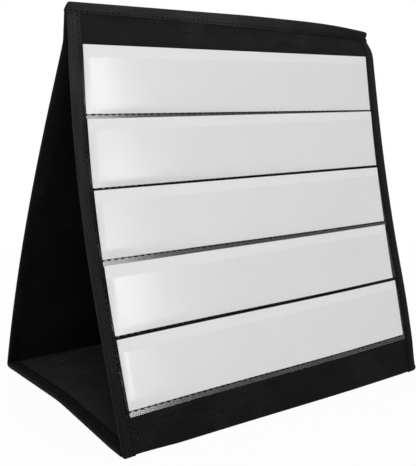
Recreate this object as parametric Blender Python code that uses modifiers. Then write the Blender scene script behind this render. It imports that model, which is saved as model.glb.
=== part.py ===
"""Tabletop pocket chart: a folding fabric tent with five clear pockets, each holding a card.

Metres, +Z up. X runs across the chart, the pockets face -Y, and the origin lies on the floor
under the middle of the base. The tent stands open, with its base flat on the floor.

The tent is four stiff panels: front, base front, base rear and back. Each is a board between
an outer cover and a lining, with a binding round each side edge. The base is hinged to the
front and to the back along the inside corners, and to itself along a crease on its underside.
"""
import math

import bmesh
import bpy
from mathutils import Matrix, Vector

# Overall sizes
WIDTH = 0.330                  # across the chart, over the bindings
BASE_DEPTH = 0.197             # from the front fold to the rear fold
RIDGE_HEIGHT = 0.320           # top of the ridge binding
FRONT_HEAD = -0.0036           # how far behind the middle the front's face is at its board's top
BACK_HEAD = 0.0055             # and the back's
FRONT_BOW = 0.008              # how far the front sags inwards between its foot and its head
BACK_BOW = 0.009               # how far the back bulges outwards
FLOOR_GAP = 0.0005             # under the feet of the covers
CLEARANCE = 0.0003             # between pieces that touch

# Layers of a panel
COVER = 0.0006                 # outer fabric
BOARD = 0.0020                 # stiff board
LINING = 0.0005                # inner fabric
BINDING_WIDTH = 0.010          # how far a binding reaches over the panel's face
BINDING_EDGE = 0.0006          # thickness of a binding round the edge of the board

# Ridge
RIDGE_RISE = 0.0105            # from where the two covers come together to the top of the ridge
HEADER_RISE = 0.0175           # from the tops of the two tall boards to where the covers come together
FRONT_APEX = 0.0007            # how far behind the middle the front cover is there
RIDGE_LEAN = 0.0012            # how far the ridge leans forwards over its height
RIDGE_TAPE = 0.0008            # thickness of the ridge binding
RIDGE_STEP = 0.0012            # from the apex up to the lower edge of the ridge binding

# Pockets and cards
ROWS = 5
BOTTOM_BAND = 0.034            # from the front's foot to the lowest pocket's seam
POCKET_MARGIN = 0.0035         # vinyl that hangs below the seam
POCKET_SIDE = 0.0008           # sewn wall at each end of a pocket
VINYL = 0.0003                 # thickness of the clear front
CARD_HEIGHT = 0.0515
CARD_SHOW = 0.0095             # how far a card stands out of its pocket
CARD_THICKNESS = 0.0004
POCKET_TILT = math.radians(4.6)    # lean of each pocket away from the front, so a card lifts clear

# Hinges
HINGE_SETBACK = 0.0005         # how far inside the corner the foot hinges turn

# Fineness
PANEL_STEPS = 16               # flats along a bowed panel
POCKET_STEPS = 3               # flats along the back of a pocket
OVERRUN = 0.004                # how far a cutter passes the piece it cuts

APEX_HEIGHT = RIDGE_HEIGHT - RIDGE_RISE
BOARD_TOP = APEX_HEIGHT - HEADER_RISE
PANEL_THICKNESS = COVER + CLEARANCE + BOARD + CLEARANCE + LINING
BOARD_DEPTH = COVER + CLEARANCE
LINING_DEPTH = BOARD_DEPTH + BOARD + CLEARANCE
HALF_WIDTH = WIDTH / 2
BOARD_HALF_WIDTH = HALF_WIDTH - BINDING_EDGE - CLEARANCE
COVER_HALF_WIDTH = HALF_WIDTH - BINDING_WIDTH - CLEARANCE


class Panel:
    """A tall panel, whose outer face is an arc in the YZ plane bowed towards +Y.

    Distances run up the outer face from the foot, and depths run into the panel from it.
    """

    def __init__(self, foot, head, bow, facing):
        chord = head - foot
        along = chord.normalized()
        rearward = Vector((along.y, -along.x))
        self.facing = facing
        self.radius = chord.length ** 2 / (8 * bow) + bow / 2
        self.centre = (foot + head) / 2 + rearward * (bow - self.radius)
        half_angle = math.asin(chord.length / 2 / self.radius)
        self.foot_angle = math.atan2(rearward.y, rearward.x) - half_angle
        self.length = 2 * half_angle * self.radius

    def ray(self, distance):
        """The direction from the arc's centre to the face, as (y, z)."""
        angle = self.foot_angle + distance / self.radius
        return Vector((math.cos(angle), math.sin(angle)))

    def at(self, distance, depth):
        """A place as (y, z)."""
        return self.centre + self.ray(distance) * (self.radius - self.facing * depth)

    def up(self, distance):
        ray = self.ray(distance)
        return Vector((-ray.y, ray.x))

    def out(self, distance):
        return self.ray(distance) * self.facing

    def distance_at(self, height, depth):
        """How far up the face a layer at this depth reaches this height."""
        reach = self.radius - self.facing * depth
        angle = math.asin((height - self.centre.y) / reach)
        return (angle - self.foot_angle) * self.radius

    def line(self, start, end, depth):
        """Points along a layer from start to end."""
        step = (end - start) / PANEL_STEPS
        return [self.at(start + step * i, depth) for i in range(PANEL_STEPS + 1)]

    def foot_of_board(self):
        """Where the inner layers start, so that they clear the base."""
        return self.distance_at(PANEL_THICKNESS + CLEARANCE, PANEL_THICKNESS)

    def hinge(self):
        """The foot hinge, just inside the corner between this panel and the base."""
        corner = self.at(self.foot_of_board(), PANEL_THICKNESS)
        return Vector((corner.x - self.facing * HINGE_SETBACK, PANEL_THICKNESS + HINGE_SETBACK))

    def base_end(self):
        """Where the base stops short of this panel's cover, as y."""
        meeting = self.at(self.distance_at(PANEL_THICKNESS, COVER), COVER)
        return meeting.x - self.facing * CLEARANCE


FRONT = Panel(Vector((-BASE_DEPTH / 2, FLOOR_GAP)), Vector((FRONT_HEAD, BOARD_TOP)), FRONT_BOW, -1)
BACK = Panel(Vector((BASE_DEPTH / 2, FLOOR_GAP)), Vector((BACK_HEAD, BOARD_TOP)), BACK_BOW, 1)


def clear_scene():
    for thing in list(bpy.data.objects):
        bpy.data.objects.remove(thing, do_unlink=True)


def new_collection(name):
    collection = bpy.data.collections.new(name)
    bpy.context.scene.collection.children.link(collection)
    return collection


clear_scene()
CHART = new_collection("tabletop_pocket_chart")
CUTTERS = new_collection("cutters")


def new_material(name, colour, roughness, alpha=1.0):
    material = bpy.data.materials.new(name)
    material.use_nodes = True
    shader = material.node_tree.nodes["Principled BSDF"]
    shader.inputs["Base Color"].default_value = (*colour, 1.0)
    shader.inputs["Roughness"].default_value = roughness
    shader.inputs["Metallic"].default_value = 0.0
    shader.inputs["Alpha"].default_value = alpha
    material.diffuse_color = (*colour, alpha)
    return material


MATERIALS = {
    "cover": ((0.016, 0.016, 0.017), 0.85, 1.0),
    "lining": ((0.010, 0.010, 0.011), 0.90, 1.0),
    "board": ((0.055, 0.052, 0.048), 0.70, 1.0),
    "binding": ((0.022, 0.022, 0.023), 0.75, 1.0),
    "vinyl": ((0.80, 0.82, 0.84), 0.10, 0.35),
    "card": ((0.85, 0.85, 0.85), 0.35, 1.0),
}


def finish_of(name, kind):
    """Each piece has a material of its own, named after it."""
    colour, roughness, alpha = MATERIALS[kind]
    return new_material(name + "_" + kind, colour, roughness, alpha)


def new_piece(name, mesh, kind, collection=CHART):
    piece = bpy.data.objects.new(name, mesh)
    collection.objects.link(piece)
    if kind:
        piece.data.materials.append(finish_of(name, kind))
    else:
        piece.hide_render = True
        piece.display_type = "WIRE"
    return piece


def sheet(name, line, left, right, thickness, kind, outwards=False, collection=CHART):
    """A sheet of fabric or board: a strip that follows a line in YZ, from left to right.

    The face on the left of the line, seen from +X, is the one that stays where the line is.
    """
    steps = len(line) - 1
    shape = bmesh.new()
    bmesh.ops.create_grid(shape, x_segments=1, y_segments=steps, size=1.0)
    for corner in shape.verts:
        place = line[round((corner.co.y + 1) / 2 * steps)]
        across = right if corner.co.x > 0 else left
        corner.co = Vector((across, place.x, place.y))
    mesh = bpy.data.meshes.new(name)
    shape.to_mesh(mesh)
    shape.free()
    piece = new_piece(name, mesh, kind, collection)
    wall = piece.modifiers.new("wall", "SOLIDIFY")
    wall.thickness = thickness
    wall.offset = 1.0 if outwards else -1.0
    wall.use_even_offset = True
    return piece


def prism(name, outline, left, right, kind, collection=CHART):
    """A solid with this outline in YZ, as a filled curve made a mesh."""
    curve = bpy.data.curves.new(name, "CURVE")
    curve.dimensions = "2D"
    curve.fill_mode = "BOTH"
    curve.extrude = (right - left) / 2
    spline = curve.splines.new("POLY")
    spline.points.add(len(outline) - 1)
    for point, place in zip(spline.points, outline):
        point.co = (place.x, place.y, 0.0, 1.0)
    spline.use_cyclic_u = True
    guide = bpy.data.objects.new(name + "_outline", curve)
    CUTTERS.objects.link(guide)
    evaluated = guide.evaluated_get(bpy.context.evaluated_depsgraph_get())
    mesh = bpy.data.meshes.new_from_object(evaluated)
    bpy.data.objects.remove(guide, do_unlink=True)
    shape = bmesh.new()
    shape.from_mesh(mesh)
    bmesh.ops.remove_doubles(shape, verts=shape.verts, dist=CLEARANCE / 100)
    for corner in shape.verts:
        y, z, across = corner.co
        corner.co = Vector((across + (left + right) / 2, y, z))
    bmesh.ops.recalc_face_normals(shape, faces=shape.faces)
    shape.to_mesh(mesh)
    shape.free()
    mesh.name = name
    return new_piece(name, mesh, kind, collection)


def cut(piece, cutter):
    notch = piece.modifiers.new("cut_" + cutter.name, "BOOLEAN")
    notch.operation = "DIFFERENCE"
    notch.solver = "EXACT"
    notch.object = cutter


def hang_on(pieces, hinge):
    """Carry pieces, built where they stand, on an empty."""
    for piece in pieces:
        piece.parent = hinge
        piece.matrix_parent_inverse = hinge_place(hinge).inverted()


def hinge_place(hinge):
    """The place of an unturned empty and of those it hangs on."""
    place = Vector(hinge.location)
    while hinge.parent:
        hinge = hinge.parent
        place += Vector(hinge.location)
    return Matrix.Translation(place)


def hinge_empty(name, place, parent=None):
    """An empty on a hinge's axis, which runs along X."""
    hinge = bpy.data.objects.new(name, None)
    CHART.objects.link(hinge)
    hinge.location = Vector((0.0, place.x, place.y))
    if parent:
        hinge.parent = parent
        hinge.location -= hinge_place(parent).to_translation()
    return hinge


def ordered(panel, line):
    """Lines run up the front and down the back, so that their outer face is on the left."""
    return line if panel.facing < 0 else line[::-1]


def tall_board(name, panel):
    line = panel.line(panel.foot_of_board(), panel.length, BOARD_DEPTH)
    return sheet(name, ordered(panel, line), -BOARD_HALF_WIDTH, BOARD_HALF_WIDTH, BOARD, "board")


def tall_lining(name, panel):
    line = panel.line(panel.foot_of_board(), panel.length, LINING_DEPTH)
    return sheet(name, ordered(panel, line), -COVER_HALF_WIDTH, COVER_HALF_WIDTH, LINING, "lining")


def ridge_foot():
    """The bend where the front cover turns up into the ridge, as (y, z)."""
    return Vector((FRONT_APEX, APEX_HEIGHT))


def ridge_up():
    """The direction in which the ridge rises, leaning forwards."""
    return Vector((-RIDGE_LEAN, RIDGE_HEIGHT - APEX_HEIGHT)).normalized()


def ridge_at(rise, back):
    """A place in the ridge, from its foot: so far up it, and so far behind the cover's face."""
    up = ridge_up()
    return ridge_foot() + up * rise + Vector((up.y, -up.x)) * back


def fin_height():
    """How far the front cover rises inside the ridge binding."""
    return (RIDGE_HEIGHT - APEX_HEIGHT) / ridge_up().y - RIDGE_TAPE - CLEARANCE


def apex(panel, depth):
    """Where a tall panel's outer fabric ends under the ridge, at this depth in it."""
    if panel.facing < 0:
        return ridge_foot() + Vector((depth, 0.0))
    leg = ridge_at(RIDGE_STEP, COVER + CLEARANCE + RIDGE_TAPE / 2)
    return leg + Vector((COVER / 2 - depth, -2 * CLEARANCE))


def tall_binding(name, panel, side):
    """A binding folded round one side edge, with a slot for the board."""
    near, far = sorted((side * (HALF_WIDTH - BINDING_WIDTH), side * HALF_WIDTH))
    line = ordered(panel, panel.line(0, panel.length, 0) + [apex(panel, 0)])
    binding = sheet(name, line, near, far, PANEL_THICKNESS, "binding")
    slot_edge = side * (HALF_WIDTH - BINDING_EDGE)
    slot_mouth = side * (HALF_WIDTH - BINDING_WIDTH - OVERRUN)
    low, high = sorted((slot_edge, slot_mouth))
    line = ordered(panel, panel.line(-OVERRUN, panel.length + OVERRUN, COVER))
    slot_height = PANEL_THICKNESS - COVER - LINING
    cut(binding, sheet(name + "_slot", line, low, high, slot_height, None, collection=CUTTERS))
    line = ordered(panel, panel.line(-OVERRUN, panel.foot_of_board(), COVER))
    reach = HALF_WIDTH + OVERRUN
    notch = sheet(name + "_foot", line, -reach, reach, PANEL_THICKNESS, None, collection=CUTTERS)
    cut(binding, notch)
    head, top = panel.at(panel.length, COVER), apex(panel, COVER)
    line = ordered(panel, [head, top + (top - head).normalized() * OVERRUN])
    notch = sheet(name + "_head", line, -reach, reach, PANEL_THICKNESS, None, collection=CUTTERS)
    cut(binding, notch)
    return binding


def front_cover():
    """The outer fabric of the front, whose upper hem stands up inside the ridge."""
    line = FRONT.line(0, FRONT.length, 0) + [apex(FRONT, 0), ridge_at(fin_height(), 0)]
    return sheet("front_cover", line, -COVER_HALF_WIDTH, COVER_HALF_WIDTH, COVER, "cover")


def back_cover():
    """The outer fabric of the back, whose upper hem ends under the rear leg of the ridge."""
    line = BACK.line(0, BACK.length, 0) + [apex(BACK, 0)]
    return sheet("back_cover", line[::-1], -COVER_HALF_WIDTH, COVER_HALF_WIDTH, COVER, "cover")


def ridge_binding():
    """A tape folded over the front cover's upper hem, along the top of the tent."""
    top = fin_height() + CLEARANCE
    behind = COVER + CLEARANCE
    line = [
        ridge_at(RIDGE_STEP, -CLEARANCE),
        ridge_at(top, -CLEARANCE),
        ridge_at(top, behind),
        ridge_at(RIDGE_STEP, behind),
    ]
    return sheet("ridge_binding", line, -HALF_WIDTH, HALF_WIDTH, RIDGE_TAPE, "binding", outwards=True)


def flat_line(rear, front, height):
    """A line along the base from the rear to the front, with its lower face on the left."""
    return [Vector((rear, height)), Vector((front, height))]


def base_half(name, front, rear):
    """The layers of one half of the base, and its two bindings."""
    wide = (-BOARD_HALF_WIDTH, BOARD_HALF_WIDTH)
    narrow = (-COVER_HALF_WIDTH, COVER_HALF_WIDTH)
    pieces = [
        sheet(name + "_cover", flat_line(rear, front, 0), *narrow, COVER, "cover"),
        sheet(name + "_board", flat_line(rear, front, BOARD_DEPTH), *wide, BOARD, "board"),
        sheet(name + "_lining", flat_line(rear, front, LINING_DEPTH), *narrow, LINING, "lining"),
    ]
    slot_height = PANEL_THICKNESS - COVER - LINING
    for side, label in ((-1, "_binding_left"), (1, "_binding_right")):
        near, far = sorted((side * (HALF_WIDTH - BINDING_WIDTH), side * HALF_WIDTH))
        line = flat_line(rear, front, 0)
        binding = sheet(name + label, line, near, far, PANEL_THICKNESS, "binding")
        slot_edge = side * (HALF_WIDTH - BINDING_EDGE)
        slot_mouth = side * (HALF_WIDTH - BINDING_WIDTH - OVERRUN)
        low, high = sorted((slot_edge, slot_mouth))
        line = flat_line(rear + OVERRUN, front - OVERRUN, COVER)
        slot = sheet(name + label + "_slot", line, low, high, slot_height, None, collection=CUTTERS)
        cut(binding, slot)
        pieces.append(binding)
    return pieces


class Row:
    """The leaning frame of one pocket: v runs up it from its lower edge, w out from the front.

    The seams are evenly spaced, and the top card ends level with the front's board.
    """

    def __init__(self, number):
        top_seam = FRONT.length - CARD_HEIGHT
        pitch = (top_seam - BOTTOM_BAND) / (ROWS - 1)
        seam = BOTTOM_BAND + (ROWS - number) * pitch
        self.start = seam - POCKET_MARGIN
        tilt = Matrix.Rotation(POCKET_TILT, 2)
        self.origin = FRONT.at(self.start, 0)
        self.up = tilt @ FRONT.up(self.start)
        self.out = tilt @ FRONT.out(self.start)

    def at(self, v, w):
        return self.origin + self.up * v + self.out * w


CARD_BACK = CLEARANCE
VINYL_BACK = CARD_BACK + CARD_THICKNESS + CLEARANCE
VINYL_FACE = VINYL_BACK + VINYL
POCKET_HALF_WIDTH = COVER_HALF_WIDTH
CARD_HALF_WIDTH = POCKET_HALF_WIDTH - POCKET_SIDE - CLEARANCE
CARD_SEAT = POCKET_MARGIN + CLEARANCE


def pocket(number):
    """A clear front, sewn to the cover along its lower edge and at both ends."""
    row = Row(number)
    lip = CARD_SEAT + CARD_HEIGHT - CARD_SHOW
    step = lip / POCKET_STEPS
    outline = [FRONT.at(row.start + step * i, -CLEARANCE) for i in range(POCKET_STEPS + 1)]
    outline += [row.at(lip, VINYL_FACE), row.at(0, VINYL_FACE)]
    name = "pocket_%d" % number
    piece = prism(name, outline, -POCKET_HALF_WIDTH, POCKET_HALF_WIDTH, "vinyl")
    corners = (
        (POCKET_MARGIN, VINYL_BACK),
        (POCKET_MARGIN, -OVERRUN),
        (lip + OVERRUN, -2 * OVERRUN),
        (lip + OVERRUN, VINYL_BACK),
    )
    space = [row.at(v, w) for v, w in corners]
    reach = CARD_HALF_WIDTH + CLEARANCE
    cut(piece, prism(name + "_space", space, -reach, reach, None, CUTTERS))
    return piece


def card(number):
    """A card that stands in a pocket. Its origin is at its foot, with Z along its travel."""
    row = Row(number)
    shape = bmesh.new()
    bmesh.ops.create_cube(shape, size=1.0)
    size = Vector((2 * CARD_HALF_WIDTH, CARD_THICKNESS, CARD_HEIGHT))
    bmesh.ops.scale(shape, verts=shape.verts, vec=size)
    bmesh.ops.translate(shape, verts=shape.verts, vec=Vector((0, 0, CARD_HEIGHT / 2)))
    name = "card_%d" % number
    mesh = bpy.data.meshes.new(name)
    shape.to_mesh(mesh)
    shape.free()
    piece = new_piece(name, mesh, "card")
    seat = row.at(CARD_SEAT, CARD_BACK + CARD_THICKNESS / 2)
    lean = math.atan2(-row.up.x, row.up.y)
    piece.matrix_world = Matrix.Translation((0.0, seat.x, seat.y)) @ Matrix.Rotation(lean, 4, "X")
    return piece


def build_front():
    front_cover()
    tall_board("front_board", FRONT)
    tall_lining("front_lining", FRONT)
    tall_binding("front_binding_left", FRONT, -1)
    tall_binding("front_binding_right", FRONT, 1)
    ridge_binding()
    for number in range(1, ROWS + 1):
        pocket(number)
        card(number)


def build_base_and_back():
    front_hinge = hinge_empty("front_fold_hinge", FRONT.hinge())
    crease = hinge_empty("base_crease_hinge", Vector((0.0, 0.0)), front_hinge)
    rear_hinge = hinge_empty("rear_fold_hinge", BACK.hinge(), crease)
    hang_on(base_half("base_front", FRONT.base_end(), -CLEARANCE / 2), front_hinge)
    hang_on(base_half("base_rear", CLEARANCE / 2, BACK.base_end()), crease)
    pieces = [
        back_cover(),
        tall_board("back_board", BACK),
        tall_lining("back_lining", BACK),
        tall_binding("back_binding_left", BACK, -1),
        tall_binding("back_binding_right", BACK, 1),
    ]
    hang_on(pieces, rear_hinge)


build_front()
build_base_and_back()
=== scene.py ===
"""Tabletop pocket chart: a tent of black woven polyester that folds flat, with five rows of clear vinyl
pockets and a white card in each. Metres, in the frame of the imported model."""
import math

import bmesh
import bpy
import numpy as np
from mathutils import Matrix, Vector


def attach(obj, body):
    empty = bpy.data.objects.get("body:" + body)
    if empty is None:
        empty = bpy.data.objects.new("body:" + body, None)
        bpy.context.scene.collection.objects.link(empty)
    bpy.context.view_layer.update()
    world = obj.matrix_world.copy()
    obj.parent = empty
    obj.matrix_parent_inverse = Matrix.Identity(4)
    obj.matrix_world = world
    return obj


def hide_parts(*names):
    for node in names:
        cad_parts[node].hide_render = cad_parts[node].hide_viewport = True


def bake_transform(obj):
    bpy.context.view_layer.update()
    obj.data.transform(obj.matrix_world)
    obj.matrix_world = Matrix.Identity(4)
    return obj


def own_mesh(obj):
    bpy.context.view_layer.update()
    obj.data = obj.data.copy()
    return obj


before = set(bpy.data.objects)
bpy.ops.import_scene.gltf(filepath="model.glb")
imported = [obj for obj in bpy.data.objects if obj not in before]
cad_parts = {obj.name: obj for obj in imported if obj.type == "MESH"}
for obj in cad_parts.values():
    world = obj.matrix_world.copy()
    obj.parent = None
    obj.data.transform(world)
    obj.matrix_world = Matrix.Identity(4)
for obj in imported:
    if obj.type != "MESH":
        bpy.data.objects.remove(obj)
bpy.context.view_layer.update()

MM = 0.001

# Layers of each panel, from its outer face inwards.
FABRIC = 0.6 * MM
STIFFENER = 2.0 * MM
LINING = 0.5 * MM
PANEL = FABRIC + STIFFENER + LINING
TAPE = 0.6 * MM
VINYL = 0.25 * MM
CARD = 0.4 * MM

# Ends of the panels across the chart, and the tapes folded over them.
LEFT_EDGE, RIGHT_EDGE = -165.0 * MM, 167.1 * MM
BACK_RIGHT_EDGE, BASE_LEFT_EDGE = 165.0 * MM, -165.7 * MM
LEFT_TAPE, RIGHT_TAPE, BASE_LEFT_TAPE = 10.4 * MM, 10.6 * MM, 11.1 * MM
TAPE_ROUND = 1.1 * MM
# How far the tapes stand off the outer faces of the front, the back and the base.
FRONT_PROUD, BACK_PROUD, BASE_PROUD = 0.9 * MM, TAPE, 0.5 * MM
# How far from a tape's edge its stitches run, how deep their groove is, and how far they stand out of it.
SEWN, GROOVE, THREAD_PROUD = 2.4 * MM, 0.3 * MM, 0.12 * MM

# The cards, and how far past a card's ends its film comes down onto the cloth.
CARD_LEFT = -154.2 * MM
CARD_HEIGHT, CARD_WIDTH = 52.0 * MM, 309.0 * MM
TURN_LEFT, TURN_RIGHT = 2.6 * MM, 1.8 * MM
# How far a film's lip lies below its card's top at mid width, and how much closer it comes per mm across.
LIP, LIP_SLOPE = 8.7 * MM, 0.0069
# A film's margin below its seam has a hem, unless it is narrower than this.
HEMMED = 1.0 * MM

# Distances up the front's outer face from its foot, in mm at mid width, and how much they grow per mm
# across: a pocket's seam, where its card stands, then the card's top. Then how far the pocket's margin
# hangs below the seam, and where the card ends at the right. Top row first.
ROWS = [
    (252.4, 0.0029, 304.9, -0.0004, 3.7, 154.9),
    (197.0, 0.0118, 249.75, 0.0098, 0.7, 154.6),
    (142.8, 0.0112, 194.9, 0.0103, 4.6, 154.2),
    (87.4, 0.0160, 138.8, 0.0155, 0.7, 153.4),
    (33.2, 0.0130, 84.7, 0.0165, 4.4, 155.1),
]
# How far each row's film bulges at mid width, in mm. Below 0 it stands off most just inside its left end.
BULGES = (0.8, 0.7, -1.3, 0.6, -1.3)
# How far each card's top leans out of its row, at the left end and at the right, in mm, so that the card
# slides clear of the row above it. Each lean follows the camera's line of sight.
LEANS = ((2.6, 1.9), (4.5, 0.8), (4.9, 0.9), (3.9, 0.4), (1.2, 0.5))
CAMERA_AT = (-0.4667, -0.5548, 0.3056)

# Where the panels' feet stand.
FRONT_FOOT, REAR_FOOT, FOOT_Z = -0.0985, 0.0993, 0.0005
# How far up each panel its header starts, how high that is above the foot, and how long the header is.
HEAD, HEAD_RISE, HEADER = 307.1 * MM, 0.2915, 17.5 * MM
# How far the fold at a foot reaches, up the panel and along the base.
FOLD = 4.0 * MM
FRONT_Y, REAR_Y = FRONT_FOOT + FOLD, REAR_FOOT - FOLD
# Highest values of the two curves that bow the front and the back.
FRONT_PEAK, BACK_PEAK = 0.1612, 0.2265
# Short of the ridge the stiffener ends, and from THIN_FROM to THIN_TO the lining closes on the cover.
BOARD_END, THIN_FROM, THIN_TO = 0.301, 0.298, 0.310
# The base's middle crease: how high it stands, how round it is, and how far its slopes run.
CREASE_HIGH, CREASE_ROUND = 5.1 * MM, 7.0 * MM
FRONT_SLOPE, REAR_SLOPE = 0.080, 0.092


# Where things lie.


def smooth(value, low, high):
    """0 below low, 1 above high, and an even curve between."""
    t = np.clip((value - low) / (high - low), 0, 1)
    return t * t * (3 - 2 * t)


def ridge_top(x):
    """Height of the ridge's top edge, which sags towards the right end."""
    return 0.320 - 1.1 * MM * smooth(x, 0.0, 0.085) - 5.8 * MM * np.clip((x - 0.060) / 0.100, 0, None) ** 2


def ridge_low(x):
    """Height of the lower edge of the ridge's tape, which falls towards the right with one small rise."""
    lifted = 1.2 * MM * np.exp(-(((x - 0.112) / 0.036) ** 2))
    return 0.3122 - 8.0 * MM * np.clip((x + 0.151) / 0.311, 0, None) ** 1.8 + lifted


def front_line(x, up):
    """(y, z) of the front's outer face: a curve, deeper at the left, then the straight header. The face
    bulges outwards at its toe, along its lower half and, at the right, in the header."""
    t = np.clip(up / HEAD, 0, 1)
    depth = (8.7 - 4.75 * x / 0.165) * MM
    bow = depth * t**1.45 * (1 - t) ** 1.2 / FRONT_PEAK
    belly = (0.3 + 2.4 * np.exp(-(((x - 0.072) / 0.11) ** 2))) * MM * (1 - smooth(t, 0.25, 0.75))
    toe = 0.6 + 2.5 * smooth(x, -0.152, -0.110) * (1 - 0.7 * smooth(x, 0.145, 0.167))
    belly += toe * MM * (1 - smooth(t, 0.0, 0.07))
    rise = np.clip((up - HEAD) / HEADER, 0, 3)
    puffed = 1.6 * MM * np.exp(-(((rise - 0.5) / 0.22) ** 2))
    puffed = puffed * smooth(x, 0.02, 0.12) * (1 - smooth(x, 0.135, 0.16))
    y = FRONT_FOOT + 0.0949 * t + bow - belly - puffed + 4.3 * MM * rise
    z = FOOT_Z + HEAD_RISE * t + (ridge_low(x) + 1.0 * MM - FOOT_Z - HEAD_RISE) * rise
    return y, z


def back_line(x, up):
    """(y, z) of the back's outer face: a curve that bulges outwards, then a short upright top."""
    t = np.clip(up / HEAD, 0, 1)
    bow = 9.5 * MM * t * (1 - t) ** 1.15 / BACK_PEAK
    rise = np.clip((up - HEAD) / HEADER, 0, 3)
    y = REAR_FOOT - 0.0938 * t + bow - 0.9 * MM * rise
    z = FOOT_Z + HEAD_RISE * t + (ridge_low(x) + 2.0 * MM - FOOT_Z - HEAD_RISE) * rise
    return y, z


def off(line, side):
    """A function that places (x, up, out): out is the distance outwards from the face that line draws."""

    def place(x, up, out):
        y, z = line(x, up)
        y2, z2 = line(x, up + 0.5 * MM)
        y1, z1 = line(x, np.maximum(up - 0.5 * MM, 0))
        along = np.stack([y2 - y1, z2 - z1])
        along /= np.linalg.norm(along, axis=0)
        return np.stack([x + 0 * y, y - side * along[1] * out, z + side * along[0] * out], axis=-1)

    return place


front = off(front_line, 1)
back = off(back_line, -1)


def base(x, y, out):
    """The base's underside rises to a low peak at the middle crease. out is the distance downwards."""
    reach = np.where(y < 0, FRONT_SLOPE, REAR_SLOPE)
    peak = CREASE_HIGH * np.clip(1 - np.sqrt(y**2 + CREASE_ROUND**2) / reach, 0, 1)
    return np.stack([x + 0 * y, y, 0.4 * MM + peak - out + 0 * x], axis=-1)


def foot(panel_place, line):
    """A function that places (x, s, out) round the fold at a foot: s runs from 0 on the panel to 1 on the
    base."""

    def place(x, s, out):
        x = x + 0 * s
        y0, z0 = line(x, np.zeros_like(x))
        y_base = np.where(y0 < 0, FRONT_Y, REAR_Y)
        start, end = panel_place(x, np.full_like(x, FOLD), 0.0), base(x, y_base, 0.0)
        inner_start, inner_end = panel_place(x, np.full_like(x, FOLD), -PANEL), base(x, y_base, -PANEL)
        corner = np.stack([x, y0, 0 * z0], axis=-1)
        s = s[..., None]
        outer = (1 - s) ** 3 * start + 3 * s * (1 - s) ** 2 * (0.12 * start + 0.88 * corner)
        outer = outer + 3 * s**2 * (1 - s) * (0.12 * end + 0.88 * corner) + s**3 * end
        inner = inner_start + s * (inner_end - inner_start)
        share = (-out / PANEL + 0 * s[..., 0])[..., None]
        return outer + share * (inner - outer)

    return place


front_foot = foot(front, front_line)
back_foot = foot(back, back_line)


def thinning(up):
    """How far the lining lies behind the outer face: the stiffener ends short of the ridge."""
    return FABRIC + STIFFENER * (1 - smooth(up, THIN_FROM, THIN_TO))


def lining_top(x, up):
    """How far out the lining's face towards the stiffener lies."""
    return -thinning(up)


def lining_bottom(x, up):
    """How far out the lining's inner face lies."""
    return -thinning(up) - LINING


def tape_low(up):
    """How far out the inner face of a panel's tape lies: below 0, because it is behind the lining."""
    return -thinning(up) - LINING - TAPE


# Meshes.

# Faces that meet at more than this angle show an edge between them.
SHARP = math.radians(35)
# Steps from the middle of a tape's fold to either side.
FOLD_STEPS = 6


def loft(name, rings, across, along, material):
    """A closed skin through rings of points, rows x points x 3, with its UV map in metres."""
    rows, points = rings.shape[:2]
    faces, uv = [], []
    for i in range(rows - 1):
        for j in range(points):
            k = (j + 1) % points
            faces.append((i * points + j, i * points + k, (i + 1) * points + k, (i + 1) * points + j))
            far = across[j + 1]
            uv += [(across[j], along[i]), (far, along[i]), (far, along[i + 1]), (across[j], along[i + 1])]
    half = points // 2
    for i, turn in ((0, -1), (rows - 1, 1)):
        for j in range(half - 1):
            quad = [(i, j), (i, j + 1), (i, points - 2 - j), (i, points - 1 - j)][::turn]
            faces.append([r * points + p for r, p in quad])
            uv += [(across[p], along[r]) for r, p in quad]
    mesh = bpy.data.meshes.new(name)
    mesh.from_pydata(rings.reshape(-1, 3).tolist(), [], faces)
    layer = mesh.uv_layers.new(name="UVMap")
    layer.data.foreach_set("uv", np.array(uv, np.float32).ravel())
    mesh.polygons.foreach_set("use_smooth", [True] * len(mesh.polygons))
    mesh.materials.append(material)
    mesh.validate()
    shell = bmesh.new()
    shell.from_mesh(mesh)
    bmesh.ops.recalc_face_normals(shell, faces=shell.faces)
    shell.to_mesh(mesh)
    shell.free()
    piece = bpy.data.objects.new(name, mesh)
    bpy.context.scene.collection.objects.link(piece)
    mesh.set_sharp_from_angle(angle=SHARP)
    return piece


def depth_at(value, x, along):
    """Distances outwards, from one number or from a function of the place."""
    return value(x, along) if callable(value) else np.full(x.shape, value)


def sheet(name, place, xs, alongs, top, bottom, material):
    """A sheet on a face: xs across, alongs along it, from out = top down to out = bottom."""
    xs, alongs = np.asarray(xs, float), np.asarray(alongs, float)
    x, along = np.meshgrid(xs, alongs)
    upper = place(x, along, depth_at(top, x, along))
    lower = place(x, along, depth_at(bottom, x, along))
    rings = np.concatenate([upper, lower[:, ::-1]], axis=1)
    thick = float(np.linalg.norm(upper[0, 0] - lower[0, 0]))
    across = list(xs) + [xs[-1] + thick + (xs[-1] - x0) for x0 in xs[::-1]]
    across.append(across[-1] + thick)
    return loft(name, rings, across, list(travelled(upper[:, 0])), material)


def travelled(points):
    """Distance run along a row of points, from 0 at the first."""
    return np.concatenate([[0.0], np.cumsum(np.linalg.norm(np.diff(points, axis=0), axis=1))])


def strip(name, place, outlines, alongs, material):
    """A tape whose closed outline in (x, out) is swept along: one outline for all, or one for each step."""
    alongs = np.asarray(alongs, float)
    outlines = np.asarray(outlines, float)
    if outlines.ndim == 2:
        outlines = np.repeat(outlines[None], len(alongs), axis=0)
    along = np.repeat(alongs[:, None], outlines.shape[1], axis=1)
    rings = place(outlines[..., 0], along, outlines[..., 1])
    ring = outlines[len(alongs) // 2]
    across = travelled(np.concatenate([ring, ring[:1]]))
    return loft(name, rings, list(across), list(travelled(rings[:, 0])), material)


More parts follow.
